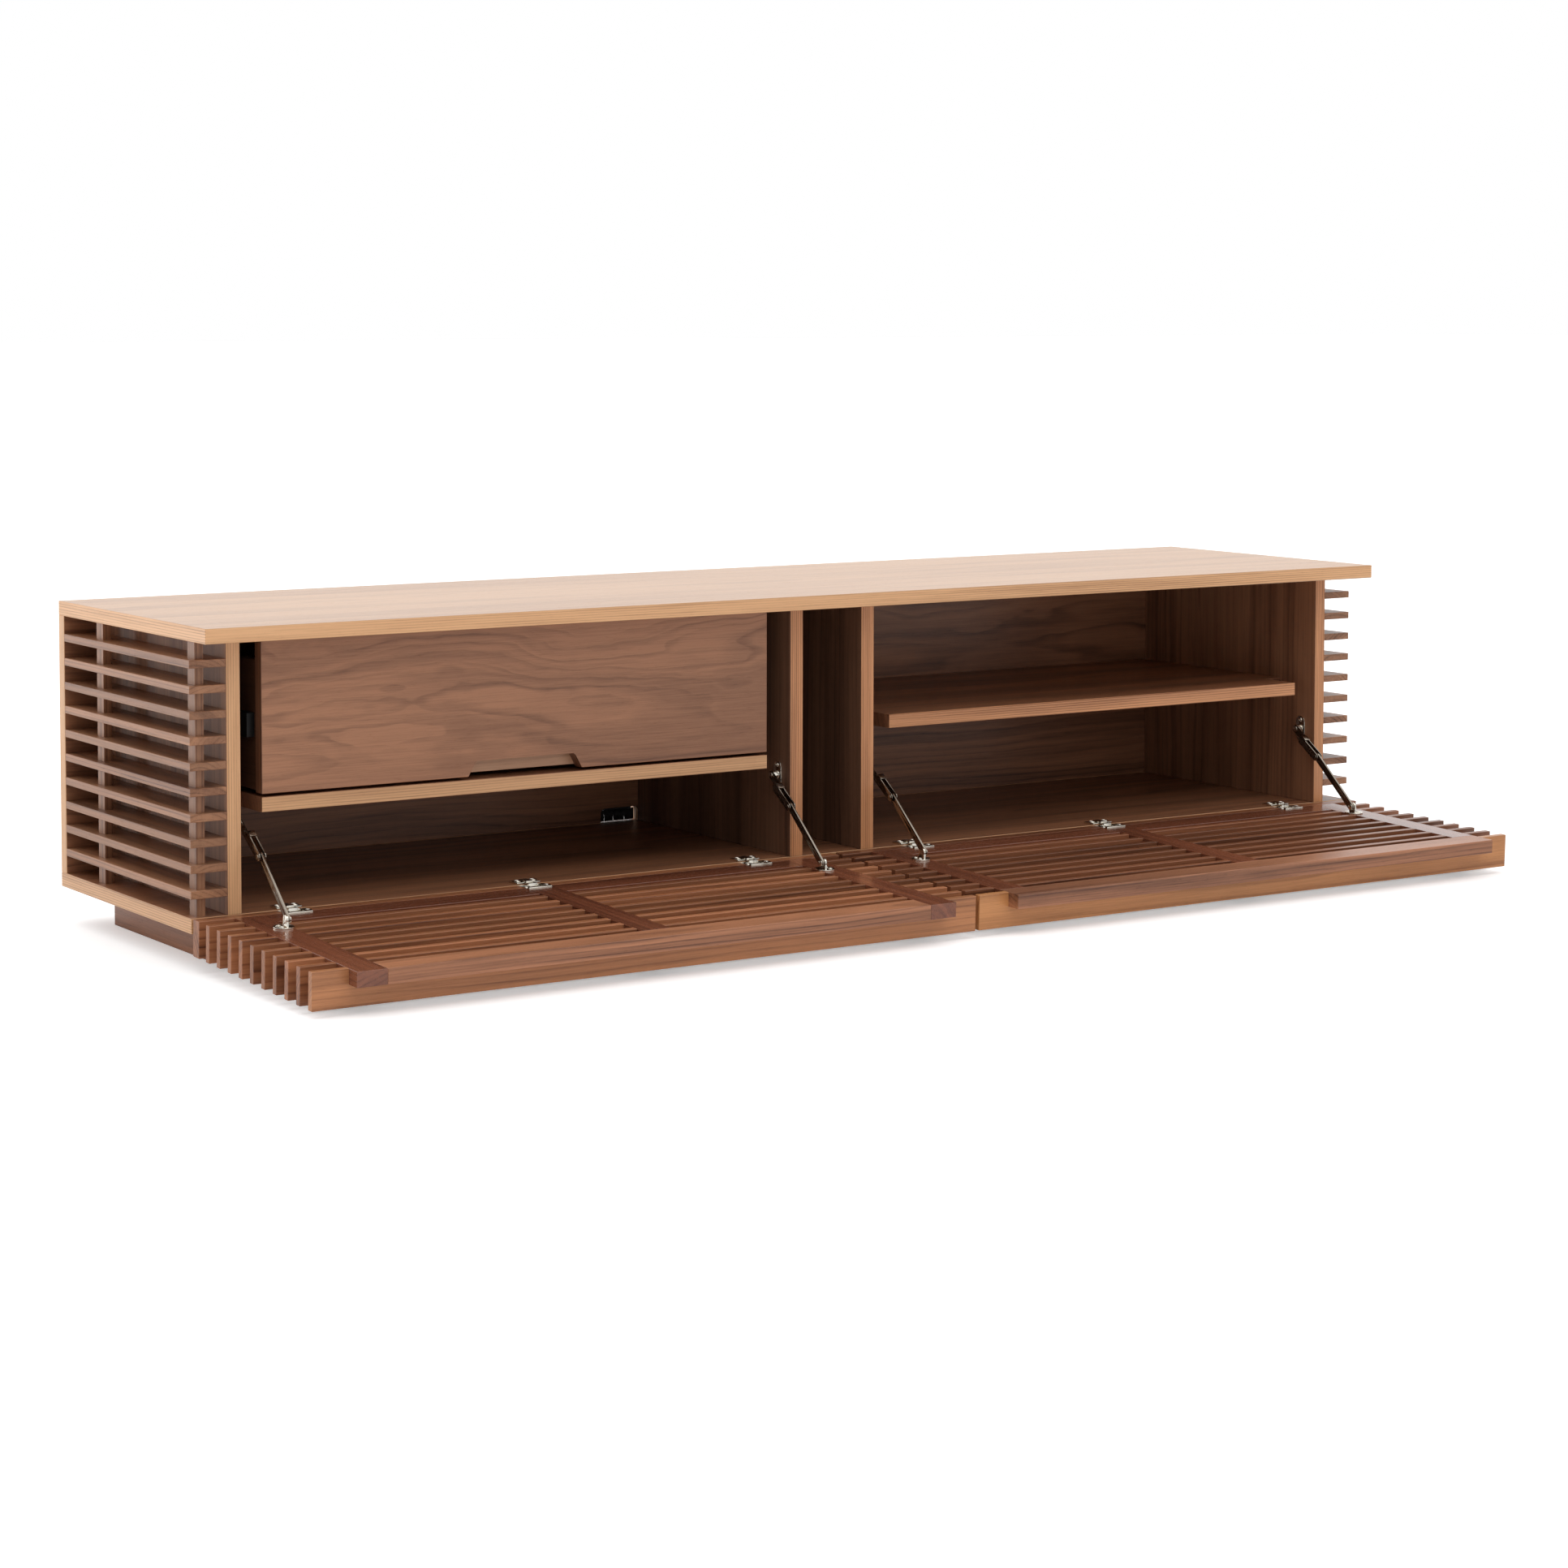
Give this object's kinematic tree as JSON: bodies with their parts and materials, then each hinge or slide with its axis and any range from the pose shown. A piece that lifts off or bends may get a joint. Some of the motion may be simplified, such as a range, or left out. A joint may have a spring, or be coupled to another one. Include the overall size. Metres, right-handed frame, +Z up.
{
  "type": "media cabinet",
  "caption": "Low walnut media cabinet: slatted ends, slatted drop-down doors on folding stays, a drawer, a notched shelf and open bays on a recessed plinth.",
  "frame": {"origin": "on the floor under the middle of the footprint, with the doors open", "axes": "+X to the right along the width, -Y out of the front, +Z up"},
  "size_m": [2, 0.8196, 0.45],
  "materials": {
    "walnut": "satin lacquer",
    "drawer_wood": "matt lacquer",
    "nickel": "nickel plate",
    "stay_steel": "dark nickel plate",
    "zinc_steel": "black zinc plate",
    "leveller_plastic": "matt"
  },
  "bodies": {
    "carcass": {"back_panel": "walnut", "bottom_panel": "walnut", "carcass_screws": "nickel", "divider_left": "walnut", "divider_right": "walnut", "drawer_shelf": "walnut", "end_posts": "walnut", "end_slats_left": "walnut", "end_slats_right": "walnut", "hinge_bases": "nickel", "media_shelf": "walnut", "plinth_back": "walnut", "plinth_front": "walnut", "plinth_left": "walnut", "plinth_right": "walnut", "runner_blocks": "drawer_wood", "runner_channels": "zinc_steel", "shelf_pins": "nickel", "side_panel_left": "walnut", "side_panel_right": "walnut", "stay_brackets": "nickel", "top_panel": "walnut"},
    "drawer": {"drawer_bottom": "drawer_wood", "drawer_box_ends": "drawer_wood", "drawer_front": "walnut", "drawer_side_left": "drawer_wood", "drawer_side_right": "drawer_wood", "runner_bars": "zinc_steel"},
    "door_left": {"door_left_board": "walnut", "door_left_front_rail": "walnut", "door_left_hinge_cups": "nickel", "door_left_hinge_rail": "walnut", "door_left_screws": "nickel", "door_left_slats": "walnut", "door_left_stay_feet": "nickel", "door_left_stile_left": "walnut", "door_left_stile_middle": "walnut", "door_left_stile_right": "walnut"},
    "door_right": {"door_right_board": "walnut", "door_right_front_rail": "walnut", "door_right_hinge_cups": "nickel", "door_right_hinge_rail": "walnut", "door_right_screws": "nickel", "door_right_slats": "walnut", "door_right_stay_feet": "nickel", "door_right_stile_left": "walnut", "door_right_stile_middle": "walnut", "door_right_stile_right": "walnut"},
    "stay_left_outer_upper": {"stay_left_outer_upper_link": "stay_steel"},
    "stay_left_outer_lower": {"stay_left_outer_lower_arm": "stay_steel"},
    "stay_left_inner_upper": {"stay_left_inner_upper_link": "stay_steel"},
    "stay_left_inner_lower": {"stay_left_inner_lower_arm": "stay_steel"},
    "stay_right_inner_upper": {"stay_right_inner_upper_link": "stay_steel"},
    "stay_right_inner_lower": {"stay_right_inner_lower_arm": "stay_steel"},
    "stay_right_outer_upper": {"stay_right_outer_upper_link": "stay_steel"},
    "stay_right_outer_lower": {"stay_right_outer_lower_arm": "stay_steel"},
    "leveller_1": {"leveller_1": "leveller_plastic"},
    "leveller_2": {"leveller_2": "leveller_plastic"},
    "leveller_3": {"leveller_3": "leveller_plastic"},
    "leveller_4": {"leveller_4": "leveller_plastic"}
  },
  "joints": [
    {"name": "door_left_hinge", "type": "hinge", "parent": "carcass", "child": "door_left", "pos_m": [-0.50125, -0.04472, 0.062], "axis": [-1, 0, 0], "range_deg": [0, 92]},
    {"name": "door_right_hinge", "type": "hinge", "parent": "carcass", "child": "door_right", "pos_m": [0.50125, -0.04472, 0.062], "axis": [-1, 0, 0], "range_deg": [0, 92]},
    {"name": "drawer_slide", "type": "slide", "parent": "carcass", "child": "drawer", "axis": [0, 1, 0], "range_m": [-0.24, 0]},
    {"name": "stay_left_outer_upper_pivot", "type": "hinge", "parent": "carcass", "child": "stay_left_outer_upper", "pos_m": [-0.913, -0.00222, 0.186], "axis": [-1, 0, 0], "range_deg": [0, 146.23]},
    {"name": "stay_left_outer_lower_pivot", "type": "hinge", "parent": "door_left", "child": "stay_left_outer_lower", "pos_m": [-0.913, -0.13829, 0.07674], "axis": [1, 0, 0], "range_deg": [0, 112.81]},
    {"name": "stay_left_inner_upper_pivot", "type": "hinge", "parent": "carcass", "child": "stay_left_inner_upper", "pos_m": [-0.089, -0.00222, 0.186], "axis": [-1, 0, 0], "range_deg": [0, 146.23]},
    {"name": "stay_left_inner_lower_pivot", "type": "hinge", "parent": "door_left", "child": "stay_left_inner_lower", "pos_m": [-0.089, -0.13829, 0.07674], "axis": [1, 0, 0], "range_deg": [0, 112.81]},
    {"name": "stay_right_inner_upper_pivot", "type": "hinge", "parent": "carcass", "child": "stay_right_inner_upper", "pos_m": [0.089, -0.00222, 0.186], "axis": [-1, 0, 0], "range_deg": [0, 146.23]},
    {"name": "stay_right_inner_lower_pivot", "type": "hinge", "parent": "door_right", "child": "stay_right_inner_lower", "pos_m": [0.089, -0.13829, 0.07674], "axis": [1, 0, 0], "range_deg": [0, 112.81]},
    {"name": "stay_right_outer_upper_pivot", "type": "hinge", "parent": "carcass", "child": "stay_right_outer_upper", "pos_m": [0.913, -0.00222, 0.186], "axis": [-1, 0, 0], "range_deg": [0, 146.23]},
    {"name": "stay_right_outer_lower_pivot", "type": "hinge", "parent": "door_right", "child": "stay_right_outer_lower", "pos_m": [0.913, -0.13829, 0.07674], "axis": [1, 0, 0], "range_deg": [0, 112.81]},
    {"name": "leveller_1_turn", "type": "hinge", "parent": "carcass", "child": "leveller_1", "pos_m": [-0.905, 0.07078, 0.03], "axis": [0, 0, 1], "continuous": true},
    {"name": "leveller_2_turn", "type": "hinge", "parent": "carcass", "child": "leveller_2", "pos_m": [-0.905, 0.30078, 0.03], "axis": [0, 0, 1], "continuous": true},
    {"name": "leveller_3_turn", "type": "hinge", "parent": "carcass", "child": "leveller_3", "pos_m": [0.905, 0.07078, 0.03], "axis": [0, 0, 1], "continuous": true},
    {"name": "leveller_4_turn", "type": "hinge", "parent": "carcass", "child": "leveller_4", "pos_m": [0.905, 0.30078, 0.03], "axis": [0, 0, 1], "continuous": true}
  ],
  "couplings": [
    {"joint": "stay_left_outer_upper_pivot", "follows": "door_left_hinge", "ratio": 1.5894},
    {"joint": "stay_left_outer_lower_pivot", "follows": "door_left_hinge", "ratio": 1.226},
    {"joint": "stay_left_inner_upper_pivot", "follows": "door_left_hinge", "ratio": 1.5894},
    {"joint": "stay_left_inner_lower_pivot", "follows": "door_left_hinge", "ratio": 1.226},
    {"joint": "stay_right_inner_upper_pivot", "follows": "door_right_hinge", "ratio": 1.5894},
    {"joint": "stay_right_inner_lower_pivot", "follows": "door_right_hinge", "ratio": 1.226},
    {"joint": "stay_right_outer_upper_pivot", "follows": "door_right_hinge", "ratio": 1.5894},
    {"joint": "stay_right_outer_lower_pivot", "follows": "door_right_hinge", "ratio": 1.226}
  ]
}
